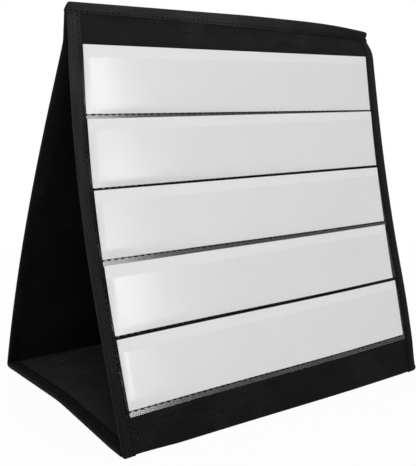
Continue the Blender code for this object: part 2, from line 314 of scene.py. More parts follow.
def wrap(edge, inner, high, low, side):
    """Outline of a tape folded round a panel's edge: from x = inner at out = high, round x = edge, to low.
    The stitches pull a groove into both of its faces."""
    middle, reach = (high + low) / 2, (high - low) / 2
    turn = np.linspace(math.pi / 2, -math.pi / 2, FOLD_STEPS * 2 + 1)
    heel = edge - side * TAPE_ROUND
    flat = [
        (inner, 0.25 * MM), (inner + side * 0.5 * MM, 0.0), (inner + side * (SEWN - 0.7 * MM), 0.0),
        (inner + side * SEWN, GROOVE), (inner + side * (SEWN + 0.7 * MM), 0.0), ((inner + heel) / 2, 0.0),
    ]
    outer = [(x, high - dip) for x, dip in flat]
    outer += [(heel + side * TAPE_ROUND * math.cos(a), middle + reach * math.sin(a)) for a in turn]
    outer += [(x, low + dip) for x, dip in flat[::-1]]
    inside = [(x, low + TAPE - 0.2 * dip) for x, dip in flat]
    inside += [
        (heel + side * (TAPE_ROUND - TAPE) * math.cos(a), middle + (reach - TAPE) * math.sin(a))
        for a in turn[::-1]
    ]
    inside += [(x, high - TAPE + 0.2 * dip) for x, dip in flat[::-1]]
    points = outer + inside
    return points if side > 0 else points[::-1]


# Materials.


def colour(text):
    """A colour written as sRGB hex, as linear red, green, blue and 1."""
    parts = [int(text[i : i + 2], 16) / 255 for i in (1, 3, 5)]
    return [c / 12.92 if c <= 0.04045 else ((c + 0.055) / 1.055) ** 2.4 for c in parts] + [1.0]


def add(tree, kind, inputs=(), **settings):
    """A node of this kind with its settings, and its inputs as values or as the sockets that feed them."""
    made = tree.nodes.new(kind)
    for key, value in settings.items():
        setattr(made, key, value)
    for key, value in dict(inputs).items():
        if isinstance(value, bpy.types.NodeSocket):
            tree.links.new(value, made.inputs[key])
        else:
            made.inputs[key].default_value = value
    return made


def start(name):
    """An empty material, and its node tree."""
    made = bpy.data.materials.new(name)
    made.use_nodes = True
    made.node_tree.nodes.clear()
    return made, made.node_tree


def woven(
    name, dark, light, pitch, relief, roughness, sheen, foot_shade,
    edge=0.0, flat=0.25, slubs=(30, 900), far=1.0,
):
    """Woven polyester: warp over weft in a grid of small raised dots. In patches the yarns are slack and
    catch the light one by one, and elsewhere they lie flat: flat is the share of their relief that is left
    there. The cloth is painted paler near the ridge than at the foot, and, where far is below 1, darker
    towards the right end: painted shade, for the lamps' gloss and falloff. On a tape, edge is how wide its
    smooth, slightly darker selvedge is. Slubs, the thick and thin lengths of the yarns, show as faint
    streaks. foot_shade and far say how bright the painted shade leaves the foot and the right end, against
    the rest."""
    made, t = start(name)
    uv = add(t, "ShaderNodeUVMap", uv_map="UVMap").outputs[0]
    wobble = add(t, "ShaderNodeTexNoise", {"Vector": uv, "Scale": 45.0, "Detail": 1.0})
    shake = add(
        t, "ShaderNodeVectorMath", {0: wobble.outputs["Color"], 1: (0.0015, 0.0015, 0.0)},
        operation="MULTIPLY",
    )
    moved = add(t, "ShaderNodeVectorMath", {0: uv, 1: shake.outputs[0]}, operation="ADD")
    yarns = add(t, "ShaderNodeVectorMath", {0: moved.outputs[0], "Scale": math.pi / pitch}, operation="SCALE")
    axes = add(t, "ShaderNodeSeparateXYZ", {0: yarns.outputs[0]})
    warp = add(t, "ShaderNodeMath", {0: axes.outputs[0]}, operation="SINE")
    weft = add(t, "ShaderNodeMath", {0: axes.outputs[1]}, operation="SINE")
    grid = add(t, "ShaderNodeMath", {0: warp.outputs[0], 1: weft.outputs[0]}, operation="MULTIPLY")
    dots = add(t, "ShaderNodeMapRange", {"Value": grid.outputs[0], 1: -0.5, 2: 0.5, 3: -1.0, 4: 1.0})
    cloud = add(t, "ShaderNodeTexNoise", {"Vector": uv, "Scale": 16.0, "Detail": 2.0, "Roughness": 0.6})
    slack = add(t, "ShaderNodeMapRange", {"Value": cloud.outputs["Fac"], 1: 0.47, 2: 0.58, 3: flat, 4: 1.0})
    shown = slack.outputs[0]
    if edge:
        across = add(t, "ShaderNodeSeparateXYZ", {0: uv})
        inside = add(t, "ShaderNodeMapRange", {"Value": across.outputs[0], 1: edge - 0.3 * MM, 2: edge})
        shown = add(t, "ShaderNodeMath", {0: shown, 1: inside.outputs[0]}, operation="MULTIPLY").outputs[0]
    raised = add(t, "ShaderNodeMath", {0: dots.outputs[0], 1: shown}, operation="MULTIPLY")
    half = add(t, "ShaderNodeMath", {0: raised.outputs[0], 1: 0.5, 2: 0.5}, operation="MULTIPLY_ADD")
    lifted = add(t, "ShaderNodeMath", {0: shown, 1: 0.15, 2: -0.28}, operation="MULTIPLY_ADD")
    level = add(
        t, "ShaderNodeMath", {0: half.outputs[0], 1: lifted.outputs[0]}, operation="ADD", use_clamp=True
    )
    tone = add(
        t,
        "ShaderNodeMix",
        {"Factor": level.outputs[0], "A": colour(dark), "B": colour(light)},
        data_type="RGBA",
    )
    place = add(t, "ShaderNodeTexCoord").outputs["Object"]
    height = add(t, "ShaderNodeSeparateXYZ", {0: place})
    # Painted shade: darker towards the foot and paler towards the ridge, for the lamps' gloss on the upper
    # cloth.
    shade = add(
        t, "ShaderNodeMapRange", {"Value": height.outputs[2], 1: 0.02, 2: 0.26, 3: foot_shade, 4: 1.0}
    )
    # Painted shade: darker towards the right end, where far is below 1.
    right_shade = add(t, "ShaderNodeMapRange", {"Value": height.outputs[0], 1: -0.02, 2: 0.12, 3: 1.0, 4: far})
    drawn = add(t, "ShaderNodeVectorMath", {0: uv, 1: (*slubs, 0.0)}, operation="MULTIPLY")
    slub = add(t, "ShaderNodeTexNoise", {"Vector": drawn.outputs[0], "Scale": 1.0, "Detail": 2.0})
    streaks = add(t, "ShaderNodeMapRange", {"Value": slub.outputs["Fac"], 1: 0.3, 2: 0.7, 3: 0.7, 4: 1.3})
    shade = add(t, "ShaderNodeMath", {0: shade.outputs[0], 1: right_shade.outputs[0]}, operation="MULTIPLY")
    shade = add(t, "ShaderNodeMath", {0: shade.outputs[0], 1: streaks.outputs[0]}, operation="MULTIPLY")
    # The tone times its painted shade and the slubs' streaks.
    shaded_tone = add(
        t, "ShaderNodeVectorMath", {0: tone.outputs["Result"], "Scale": shade.outputs[0]}, operation="SCALE"
    )
    bump = add(t, "ShaderNodeBump", {"Height": raised.outputs[0], "Distance": relief, "Strength": 1.0})
    shader = add(
        t,
        "ShaderNodeBsdfPrincipled",
        {
            "Base Color": shaded_tone.outputs[0],
            "Roughness": roughness,
            "Normal": bump.outputs[0],
            "Sheen Weight": sheen,
            "Sheen Roughness": 0.45,
            "IOR": 1.45,
            "Specular IOR Level": 0.03,
        },
    )
    add(t, "ShaderNodeOutputMaterial", {"Surface": shader.outputs[0]})
    return made


# The real yarns lie about 0.4 mm apart, too fine for the render, so their pitch is drawn about three times
# as coarse.
YARN = 1.2 * MM
SELVEDGE = 2.0 * MM

# The covers are matt and nearly black, with grey glints where yarns stand up.
cover_cloth = woven("Oxford polyester, black", "#040404", "#3E3E3E", YARN, 0.25 * MM, 0.62, 0.01, 0.55)
# The tapes are ribbed, with a soft sheen, and look a shade paler than the covers.
tape_cloth = woven(
    "Grosgrain polyester tape, black", "#040404", "#545454", YARN, 0.3 * MM, 0.58, 0.015, 0.36,
    edge=SELVEDGE, flat=0.6, slubs=(900, 30),
)
# The ridge's tape is the same, with painted shade that darkens it towards the right.
ridge_cloth = woven(
    "Grosgrain polyester tape over the ridge", "#040404", "#525252", YARN, 0.3 * MM, 0.58, 0.015, 0.5,
    flat=0.5, slubs=(900, 25), far=0.42,
)
# The front's right tape is a copy of the tape with darker colours: painted shade along its whole length.
right_tape_shaded_cloth = woven(
    "Grosgrain polyester tape, painted shade", "#040404", "#404040", YARN, 0.3 * MM, 0.58, 0.01, 0.5,
    edge=SELVEDGE, flat=0.4, slubs=(900, 30),
)
# The back's tapes are thinner and duller, and their darker colours are painted shade.
back_tape_shaded_cloth = woven(
    "Taffeta tape, black", "#050505", "#2F2F2F", YARN, 0.2 * MM, 0.65, 0.01, 0.5, edge=SELVEDGE
)
# The linings are dull and very dark. The base's is a paler copy, its grey yarns painted light for the light
# that comes in at the open ends.
lining_cloth = woven(
    "Taffeta polyester lining, black", "#050505", "#232323", 1.3 * MM, 0.25 * MM, 0.7, 0.01, 1.0
)
base_lining_lit_cloth = woven(
    "Taffeta polyester lining, painted light", "#080808", "#606060", 1.4 * MM, 0.3 * MM, 0.7, 0.01, 1.0
)


def paperboard():
    """Grey paperboard: matt, with short fibres."""
    made, t = start("Grey paperboard")
    place = add(t, "ShaderNodeTexCoord").outputs["Object"]
    fibres = add(t, "ShaderNodeTexNoise", {"Vector": place, "Scale": 900.0, "Detail": 4.0})
    tone = add(
        t,
        "ShaderNodeMix",
        {"Factor": fibres.outputs["Fac"], "A": colour("#5E5A54"), "B": colour("#8B867D")},
        data_type="RGBA",
    )
    shader = add(t, "ShaderNodeBsdfPrincipled", {"Base Color": tone.outputs["Result"], "Roughness": 0.85})
    add(t, "ShaderNodeOutputMaterial", {"Surface": shader.outputs[0]})
    return made


def card_stock():
    """Coated white card: even, with a faint tooth."""
    made, t = start("Coated white card")
    place = add(t, "ShaderNodeTexCoord").outputs["Object"]
    tooth = add(t, "ShaderNodeTexNoise", {"Vector": place, "Scale": 700.0, "Detail": 3.0})
    clouds = add(t, "ShaderNodeTexNoise", {"Vector": place, "Scale": 12.0, "Detail": 2.0})
    tone = add(
        t,
        "ShaderNodeMix",
        {"Factor": clouds.outputs["Fac"], "A": colour("#E5E5E5"), "B": colour("#ECECEC")},
        data_type="RGBA",
    )
    bump = add(t, "ShaderNodeBump", {"Height": tooth.outputs["Fac"], "Distance": 0.02 * MM, "Strength": 0.5})
    shader = add(
        t,
        "ShaderNodeBsdfPrincipled",
        {"Base Color": tone.outputs["Result"], "Roughness": 0.6, "Normal": bump.outputs[0]},
    )
    add(t, "ShaderNodeOutputMaterial", {"Surface": shader.outputs[0]})
    return made


def clear_film():
    """Clear PVC film, calendered: see-through, a soft gloss, and a trace of haze over what lies behind."""
    made, t = start("Clear PVC film")
    place = add(t, "ShaderNodeTexCoord").outputs["Object"]
    ripples = add(t, "ShaderNodeTexNoise", {"Vector": place, "Scale": 26.0, "Detail": 2.0})
    bump = add(
        t, "ShaderNodeBump", {"Height": ripples.outputs["Fac"], "Distance": 0.5 * MM, "Strength": 0.35}
    )
    through = add(t, "ShaderNodeBsdfTransparent", {"Color": (0.984, 0.984, 0.984, 1.0)})
    gloss = add(
        t,
        "ShaderNodeBsdfPrincipled",
        {"Base Color": (1.0, 1.0, 1.0, 1.0), "Metallic": 1.0, "Roughness": 0.17, "Normal": bump.outputs[0]},
    )
    facing = add(t, "ShaderNodeLayerWeight", {"Blend": 0.5})
    share = add(
        t, "ShaderNodeMath", {0: facing.outputs["Facing"], 1: 0.012, 2: 0.013}, operation="MULTIPLY_ADD"
    )
    mixed = add(t, "ShaderNodeMixShader", {0: share.outputs[0], 1: through.outputs[0], 2: gloss.outputs[0]})
    add(t, "ShaderNodeOutputMaterial", {"Surface": mixed.outputs[0]})
    return made


def sewing_thread():
    """Spun polyester thread, black: matt, and darker than the cloth around it."""
    made, t = start("Spun polyester thread, black")
    place = add(t, "ShaderNodeTexCoord").outputs["Object"]
    twist = add(t, "ShaderNodeTexNoise", {"Vector": place, "Scale": 2500.0, "Detail": 1.0})
    tone = add(
        t,
        "ShaderNodeMix",
        {"Factor": twist.outputs["Fac"], "A": colour("#020202"), "B": colour("#0C0C0C")},
        data_type="RGBA",
    )
    shader = add(
        t,
        "ShaderNodeBsdfPrincipled",
        {"Base Color": tone.outputs["Result"], "Roughness": 0.85, "Specular IOR Level": 0.03},
    )
    add(t, "ShaderNodeOutputMaterial", {"Surface": shader.outputs[0]})
    return made


board = paperboard()
card_face = card_stock()
film = clear_film()
thread = sewing_thread()


# Stitching.


# What a row of stitches is given, for the tapes and for the pockets' seams, whose thread is drawn thicker:
# its dark dashes are partly thread and partly painted shadow round each stitch.
SEWING = ("Stitch pitch", "Stitch length", "Thread radius")
TAPE_SEWING = (4.5 * MM, 2.6 * MM, 0.4 * MM)
POCKET_SEWING = (5.8 * MM, 4.0 * MM, 0.75 * MM)


def stitch_tree():
    """Geometry nodes that set one sewn stitch after another along the edges of a mesh."""
    tree = bpy.data.node_groups.new("running stitch", "GeometryNodeTree")
    face = tree.interface
    face.new_socket("Geometry", in_out="INPUT", socket_type="NodeSocketGeometry")
    for name in SEWING:
        face.new_socket(name, in_out="INPUT", socket_type="NodeSocketFloat")
    face.new_socket("Geometry", in_out="OUTPUT", socket_type="NodeSocketGeometry")
    given = add(tree, "NodeGroupInput").outputs
    line = add(tree, "GeometryNodeMeshToCurve", {"Mesh": given["Geometry"]})
    marks = add(
        tree, "GeometryNodeResampleCurve", {"Curve": line.outputs[0], "Length": given["Stitch pitch"]},
        mode="LENGTH",
    )
    tangent = add(tree, "GeometryNodeInputTangent")
    turn = add(tree, "FunctionNodeAlignRotationToVector", {"Vector": tangent.outputs[0]}, axis="X")
    ball = add(tree, "GeometryNodeMeshUVSphere", {"Segments": 8, "Rings": 5, "Radius": 1.0})
    half = add(tree, "ShaderNodeMath", {0: given["Stitch length"], 1: 0.5}, operation="MULTIPLY")
    size = add(
        tree, "ShaderNodeCombineXYZ",
        {0: half.outputs[0], 1: given["Thread radius"], 2: given["Thread radius"]},
    )
    shaped = add(tree, "GeometryNodeTransform", {"Geometry": ball.outputs[0], "Scale": size.outputs[0]})
    sewn = add(
        tree, "GeometryNodeInstanceOnPoints",
        {"Points": marks.outputs[0], "Instance": shaped.outputs[0], "Rotation": turn.outputs[0]},
    )
    real = add(tree, "GeometryNodeRealizeInstances", {"Geometry": sewn.outputs[0]})
    coated = add(tree, "GeometryNodeSetMaterial", {"Geometry": real.outputs[0], "Material": thread})
    add(tree, "NodeGroupOutput", {"Geometry": coated.outputs[0]})
    return tree


STITCHES = stitch_tree()


def sew(name, lines, sewing):
    """One mesh of stitches along several lines of points."""
    points, edges = [], []
    for line in lines:
        edges += [(len(points) + i, len(points) + i + 1) for i in range(len(line) - 1)]
        points += [tuple(map(float, p)) for p in line]
    mesh = bpy.data.meshes.new(name + "_path")
    mesh.from_pydata(points, edges, [])
    guide = bpy.data.objects.new(name + "_path", mesh)
    bpy.context.scene.collection.objects.link(guide)
    maker = guide.modifiers.new("stitches", "NODES")
    maker.node_group = STITCHES
    inputs = {s.name: s.identifier for s in STITCHES.interface.items_tree if s.in_out == "INPUT"}
    for socket, value in zip(SEWING, sewing):
        maker[inputs[socket]] = value
    bpy.context.view_layer.update()
    made = bpy.data.meshes.new_from_object(guide.evaluated_get(bpy.context.evaluated_depsgraph_get()))
    made.name = name
    made.polygons.foreach_set("use_smooth", [True] * len(made.polygons))
    made.polygons.foreach_set("material_index", [0] * len(made.polygons))
    made.materials.clear()
    made.materials.append(thread)
    guide.modifiers.remove(maker)
    bpy.data.objects.remove(guide)
    piece = bpy.data.objects.new(name, made)
    bpy.context.scene.collection.objects.link(piece)
    return piece


def run(place, x, along, out):
    """Points of a line on a face: any of x, along and out may be a row of numbers."""
    x, along, out = np.broadcast_arrays(np.asarray(x, float), np.asarray(along, float), out)
    return place(x + 0.0, along + 0.0, out + 0.0)


# The front.

APEX = HEAD + HEADER
# The panels' layers end this far inside the folds of their tapes.
INSET = 1.5 * MM
ACROSS = np.linspace(LEFT_EDGE + INSET, RIGHT_EDGE - INSET, 45)
BACK_ACROSS = np.linspace(LEFT_EDGE + INSET, BACK_RIGHT_EDGE - INSET, 31)
# Steps up a panel, closer together from where the stiffener ends.
UPS = np.concatenate([np.linspace(FOLD, 0.298, 58), np.linspace(0.3, 0.310, 6), np.linspace(0.312, APEX, 7)])
BOARD_UPS = UPS[UPS < BOARD_END]
# Past this x the front's cloths are drawn in along its right edge.
FULL_TO = 0.120


def right_edge(up):
    """Outer edge of the front's right tape: it flares a little near the foot and rounds off at the ridge."""
    up = np.asarray(up, float)
    flare = 1.7 * MM * np.exp(-(((up - 0.068) / 0.045) ** 2))
    corner = 8.5 * MM * np.clip((up - 0.302) / 0.0225, 0, 1) ** 2.2
    foot_in = 3.6 * MM * (1 - smooth(up, -0.004, 0.03))
    return RIGHT_EDGE + 0.2 * MM + flare - corner - foot_in


def front_body(x, up, out):
    """The front's face, with x drawn in where the right edge rounds off."""
    span = right_edge(up) - 1.0 * MM - FULL_TO
    drawn_in = FULL_TO + (x - FULL_TO) * span / (ACROSS[-1] - FULL_TO)
    return front(np.where(x > FULL_TO, drawn_in, x), up, out)


front_cover = sheet("front_cover_cloth", front_body, ACROSS, UPS, 0.0, -FABRIC, cover_cloth)
front_board = sheet("front_stiffener", front, ACROSS[1:-1], BOARD_UPS, -FABRIC, -FABRIC - STIFFENER, board)
front_lining = sheet("front_lining_cloth", front_body, ACROSS, UPS, lining_top, lining_bottom, lining_cloth)


def tape_outlines(edge, width, side, high):
    """One outline for each step up a panel, thinner where the stiffener ends."""
    edges = edge(UPS) if callable(edge) else np.full(len(UPS), edge)
    return [wrap(e, e - side * width, high, tape_low(up), side) for e, up in zip(edges, UPS)]


left_outlines = tape_outlines(LEFT_EDGE, LEFT_TAPE, -1, FRONT_PROUD)
tape_left = strip("front_tape_left", front, left_outlines, UPS, tape_cloth)
right_outlines = tape_outlines(right_edge, RIGHT_TAPE, 1, FRONT_PROUD)
tape_right = strip("front_tape_right", front, right_outlines, UPS, right_tape_shaded_cloth)

# The ridge's tape in section, from its front edge over the top to its back edge: mm behind the header's
# top edge, and height as a share of the tape's height.
RIDGE_KNOTS = [
    (-1.9, 0.00), (-2.4, 0.10), (-2.5, 0.30), (-2.2, 0.55), (-1.7, 0.78), (-0.8, 0.93), (0.3, 1.00),
    (1.4, 0.985), (2.4, 0.88), (3.0, 0.66), (3.3, 0.40), (3.4, 0.20), (3.3, 0.10),
]


def ridge_section(x):
    """Outer line of the ridge's tape from its front edge, over the top, to its back edge, at each x."""
    top, low = ridge_top(x), ridge_low(x)
    header_y, _ = front_line(x, np.full_like(x, APEX))
    section = np.stack([
        np.stack([x, header_y + behind * MM, low + share * (top - low)], axis=-1)
        for behind, share in RIDGE_KNOTS
    ], axis=1)
    # Its front edge curls under a little.
    section[:, 0, 2] -= 0.1 * MM
    return section


def thicken(outer, thick):
    """The same line drawn in by thick, for the inside of a folded tape."""
    ahead = np.roll(outer, -1, axis=1)
    behind = np.roll(outer, 1, axis=1)
    ahead[:, -1], behind[:, 0] = outer[:, -1], outer[:, 0]
    along = ahead - behind
    along /= np.linalg.norm(along, axis=-1, keepdims=True)
    inwards = np.stack([0 * along[..., 0], along[..., 2], -along[..., 1]], axis=-1)
    return outer + inwards * thick


def finer(section, steps):
    """A smooth line through a row of points at each x, with steps points from one to the next."""
    before, after = 2 * section[:, :1] - section[:, 1:2], 2 * section[:, -1:] - section[:, -2:-1]
    padded = np.concatenate([before, section, after], axis=1)
    out = []
    for i in range(section.shape[1] - 1):
        a, b, c, d = (padded[:, i + k] for k in range(4))
        bend, twist = 2 * a - 5 * b + 4 * c - d, 3 * b - a - 3 * c + d
        for t in np.arange(steps) / steps:
            out.append(0.5 * ((2 * b) + (c - a) * t + bend * t**2 + twist * t**3))
    out.append(section[:, -1])
    return np.stack(out, axis=1)


# The tape closes at its two ends.
RIDGE_XS = np.concatenate([[-165.6, -165.3, -164.6], np.linspace(-163, 158, 54), [159.6, 160.6, 161.0]]) * MM
CLOSING = np.array([0.55, 0.8, 0.95] + [1.0] * 54 + [0.95, 0.8, 0.55])
RIDGE_THICK = 0.7 * MM
skin = finer(ridge_section(RIDGE_XS), 2)
middle = skin.mean(axis=1, keepdims=True)
shrunk = np.stack([np.ones_like(CLOSING), CLOSING, 0.5 + 0.5 * CLOSING], axis=-1)[:, None]
skin = middle + (skin - middle) * shrunk
# Its right end slants in towards its lower edge. Its left end spreads at the lower edge and rounds off at
# the top.
right_end, left_end, left_top = skin[-6:], skin[:3], skin[:4]
right_end[..., 0] -= (1 - (right_end[..., 2] - 0.303) / 0.011).clip(0, 1) * 5.0 * MM
left_end[..., 0] -= (1 - (left_end[..., 2] - 0.312) / 0.007).clip(0, 1) * 0.9 * MM
rounding = np.array([[2.0], [2.0], [2.0], [1.3]]) * MM
left_top[..., 0] += ((left_top[..., 2] - 0.3135) / 0.0065).clip(0, 1) * rounding
rings = np.concatenate([skin, thicken(skin, RIDGE_THICK)[:, ::-1]], axis=1)
half_way = rings[len(rings) // 2]
ridge_ring = np.concatenate([half_way, half_way[:1]])
ridge_tape = loft("ridge_tape", rings, list(travelled(ridge_ring)), list(RIDGE_XS), ridge_cloth)


def cut(xs, alongs):
    """Width and length of a sheet, laid flat."""
    return float(xs[-1] - xs[0]), float(alongs[-1] - alongs[0])


hems, films, cards = [], [], []
front_pieces = [
    (front_cover, "front_cover", "cover_fabric"),
    (front_board, "front_board", "board"),
    (front_lining, "front_lining", "lining_fabric"),
    (tape_left, "front_binding_left", "binding_tape"),
    (tape_right, "front_binding_right", "binding_tape"),
    (ridge_tape, "ridge_binding", "binding_tape"),
]


def leaning(points, x, share, number):
    """Points of a card or its film, moved out by a share of the lean of that row."""
    left, right = LEANS[number - 1]
    lean = (left + (right - left) * np.clip((x - CARD_LEFT) / CARD_WIDTH, 0, 1)) * share * MM
    sight = np.array(CAMERA_AT) - points
    return points - sight * (lean / sight[..., 1])[..., None]


def make_row(number, row):
    """The card of one row, its pocket's film and the size that was cut to, and the hem of its margin in a
    list, which is empty where the margin is too narrow for one."""
    seam, seam_slope, top, top_slope, margin, card_right = row
    margin, card_right, bulge = margin * MM, card_right * MM, BULGES[number - 1] * MM

    def seam_up(x):
        return seam * MM + seam_slope * x

    def top_up(x):
        return top * MM + top_slope * x

    def lip_up(x):
        return top_up(x) - LIP + LIP_SLOPE * x

    def risen(x, up):
        """0 at the seam, and 1 at the height of a card above it."""
        return np.clip((up - seam_up(x)) / CARD_HEIGHT, 0, 1)

    def standing(x, up):
        """How far a card's back stands off the cloth: a little at its foot, and more towards its top."""
        return 0.15 * MM + 0.9 * MM * risen(x, up)

    def card_place(x, t, out):
        """t is 0 at the card's foot and 1 at its top."""
        foot_up = seam_up(x) + 0.1 * MM
        up = foot_up + t * (top_up(x) - foot_up)
        return leaning(front(x, up, out + standing(x, up)), x, risen(x, up), number)

    def film_place(x, t, out):
        """t is -1 at the margin's edge, 0 at the seam and 1 at the lip."""
        up = np.where(t < 0, seam_up(x) + t * margin, seam_up(x) + t * (lip_up(x) - seam_up(x)))
        over = smooth(up - seam_up(x), -0.15 * MM, 0.15 * MM)
        over = over * smooth(x, CARD_LEFT - TURN_LEFT, CARD_LEFT - 0.3 * MM)
        over = over * (1 - smooth(x, card_right + 0.2 * MM, card_right + TURN_RIGHT))
        share = np.clip((x - CARD_LEFT) / (card_right - CARD_LEFT), 0, 1)
        if bulge > 0:
            puff = 4 * bulge * share * (1 - share)
        else:
            puff = -bulge * np.clip(1 - share / 0.4, 0, 1) ** 2
        puff = puff * smooth(up - seam_up(x), 0.0, 5 * MM)
        stand = 2 * VINYL + 0.12 * MM + over * (standing(x, up) + CARD - VINYL + puff)
        return leaning(front(x, up, out + stand), x, over * risen(x, up), number)

    card = sheet(
        f"card_{number}_stock", card_place, np.linspace(CARD_LEFT, card_right, 45), np.linspace(0, 1, 16),
        CARD, 0.0, card_face,
    )
    film_xs = np.unique(np.concatenate([
        np.linspace(LEFT_EDGE + 4 * MM, CARD_LEFT - 3 * MM, 3),
        np.linspace(CARD_LEFT - TURN_LEFT, CARD_LEFT, 6),
        np.linspace(CARD_LEFT, card_right, 45),
        np.linspace(card_right, card_right + TURN_RIGHT, 6),
        [RIGHT_EDGE - 6 * MM],
    ]))
    near = 0.2 * MM / margin
    film_ts = np.concatenate([
        [-1, -(1 + near) / 2], np.linspace(-near, 0, 6), [0.003, 0.007, 0.012, 0.03, 0.07],
        np.linspace(0.1, 1, 14),
    ])
    pocket = sheet(f"pocket_{number}_film", film_place, film_xs, film_ts, 0.0, -VINYL, film)
    size = cut(film_xs, [0.0, margin + lip_up(0.0) - seam_up(0.0)])
    if margin < HEMMED:
        return card, pocket, size, []
    hem = sheet(
        f"pocket_{number}_hem", film_place, film_xs, [-1.0, -0.5, -near - 0.03],
        -VINYL - 0.06 * MM, -2 * VINYL - 0.06 * MM, film,
    )
    return card, pocket, size, [hem]


for number, row in enumerate(ROWS, 1):
    card, pocket, size, row_hems = make_row(number, row)
    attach(card, f"card_{number}")
    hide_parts(f"card_{number}")
    cards.append(card)
    front_pieces.append((pocket, f"pocket_{number}", "clear_vinyl"))
    hems += row_hems
    films.append((pocket, size, row_hems))

for piece, node, slot in front_pieces:
    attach(piece, "front")
    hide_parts(node)

for piece in hems:
    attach(piece, "front")

# The pockets' seams run just below the feet of the cards, and their thread lies half sunk in the film.
seam_xs = np.linspace(CARD_LEFT - 0.3 * MM, 156 * MM, 60)
seam_lines = [
    run(front, seam_xs, seam * MM + slope * seam_xs - 0.5 * MM, 2 * VINYL - 0.15 * MM)
    for seam, slope, *_ in ROWS
]
front_seams = sew("front_pocket_stitches", seam_lines, POCKET_SEWING)
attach(front_seams, "front")


def tape_seams(place, edge, side, width, high, low, alongs):
    """Stitches along a tape's inner edge, on its outer face and on its inner one."""
    edge, low = (value(alongs) if callable(value) else value for value in (edge, low))
    x = edge - side * (width - SEWN)
    return [
        run(place, x, alongs, high - GROOVE + THREAD_PROUD),
        run(place, x, alongs, low + GROOVE - THREAD_PROUD),
    ]

SEWN_UPS = np.linspace(FOLD, APEX - 2 * MM, 90)
front_tape_seams = tape_seams(front, LEFT_EDGE, -1, LEFT_TAPE, FRONT_PROUD, tape_low, SEWN_UPS)
front_tape_seams += tape_seams(front, right_edge, 1, RIGHT_TAPE, FRONT_PROUD, tape_low, SEWN_UPS)
# The ridge's tape is sewn through a fifth of the way up, on its front and on its back.
ridge_xs = np.linspace(-163 * MM, 157 * MM, 80)
ridge_y = front_line(ridge_xs, np.full_like(ridge_xs, APEX))[0]
ridge_z = ridge_low(ridge_xs) + 0.2 * (ridge_top(ridge_xs) - ridge_low(ridge_xs))
for depth in (-2.45 * MM, 3.40 * MM):
    front_tape_seams.append(np.stack([ridge_xs, ridge_y + depth, ridge_z], axis=-1))
binding_stitches = sew("front_binding_stitches", front_tape_seams, TAPE_SEWING)
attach(binding_stitches, "front")

# The back.
back_cover = sheet("back_cover_cloth", back, BACK_ACROSS, UPS, 0.0, -FABRIC, cover_cloth)
back_board = sheet("back_stiffener", back, BACK_ACROSS[1:-1], BOARD_UPS, -FABRIC, -FABRIC - STIFFENER, board)
back_lining = sheet("back_lining_cloth", back, BACK_ACROSS, UPS, lining_top, lining_bottom, lining_cloth)
left_outlines = tape_outlines(LEFT_EDGE, LEFT_TAPE, -1, BACK_PROUD)
back_left = strip("back_tape_left", back, left_outlines, UPS, back_tape_shaded_cloth)
right_outlines = tape_outlines(BACK_RIGHT_EDGE, LEFT_TAPE, 1, BACK_PROUD)
back_right = strip("back_tape_right", back, right_outlines, UPS, back_tape_shaded_cloth)
for piece, node, slot in [
    (back_cover, "back_cover", "cover_fabric"),
    (back_board, "back_board", "board"),
    (back_lining, "back_lining", "lining_fabric"),
    (back_left, "back_binding_left", "binding_tape"),
    (back_right, "back_binding_right", "binding_tape"),
]:
    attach(piece, "back")
    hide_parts(node)

back_tape_seams = tape_seams(back, LEFT_EDGE, -1, LEFT_TAPE, BACK_PROUD, tape_low, SEWN_UPS)
back_tape_seams += tape_seams(back, BACK_RIGHT_EDGE, 1, LEFT_TAPE, BACK_PROUD, tape_low, SEWN_UPS)
back_stitches = sew("back_binding_stitches", back_tape_seams, TAPE_SEWING)
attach(back_stitches, "back")

# The base, in one length across its crease.
BASE_YS = np.unique(np.concatenate([
    np.linspace(FRONT_Y, -0.010, 22), np.linspace(-0.010, 0.010, 21), np.linspace(0.010, REAR_Y, 22),
]))
# Each half's stiffener ends this far short of the crease and of its foot.
CREASE_GAP, FOOT_GAP = 2.5 * MM, 1.0 * MM
BASE_LOW = -PANEL - TAPE


def crease(x, y):
    """The lining dips into the gap between the two stiffeners, and lies in low waves elsewhere."""
    dip = 1.5 * MM * np.exp(-((y / (1.3 * MM)) ** 2))
    waves = 0.5 * MM * np.sin(x * 61 + 2.3 * np.sin(y * 43)) * np.sin(y * 174 + 1.7 * np.sin(x * 59))
    return -PANEL + dip - np.abs(waves)


base_cover = sheet("base_cover_cloth", base, BACK_ACROSS, BASE_YS, 0.0, -FABRIC, cover_cloth)
base_lining = sheet(
    "base_lining_lit_cloth", base, BACK_ACROSS, BASE_YS, lambda x, y: crease(x, y) + LINING, crease,
    base_lining_lit_cloth,
)
left_outline = wrap(BASE_LEFT_EDGE, BASE_LEFT_EDGE + BASE_LEFT_TAPE, BASE_PROUD, BASE_LOW, -1)
base_left = strip("base_tape_left", base, left_outline, BASE_YS, tape_cloth)
right_outline = wrap(BACK_RIGHT_EDGE, BACK_RIGHT_EDGE - LEFT_TAPE, BASE_PROUD, BASE_LOW, 1)
base_right = strip("base_tape_right", base, right_outline, BASE_YS, tape_cloth)
base_tape_seams = tape_seams(base, BASE_LEFT_EDGE, -1, BASE_LEFT_TAPE, BASE_PROUD, BASE_LOW, BASE_YS)
base_tape_seams += tape_seams(base, BACK_RIGHT_EDGE, 1, LEFT_TAPE, BASE_PROUD, BASE_LOW, BASE_YS)
base_stitches = sew("base_binding_stitches", base_tape_seams, TAPE_SEWING)
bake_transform(base_stitches)
for piece, nodes, slot in [
    (base_cover, ["base_front_cover", "base_rear_cover"], "cover_fabric"),
    (base_lining, ["base_front_lining", "base_rear_lining"], "lining_fabric"),
    (base_left, ["base_front_binding_left", "base_rear_binding_left"], "binding_tape"),
    (base_right, ["base_front_binding_right", "base_rear_binding_right"], "binding_tape"),
]:
    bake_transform(piece)
    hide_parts(*nodes)
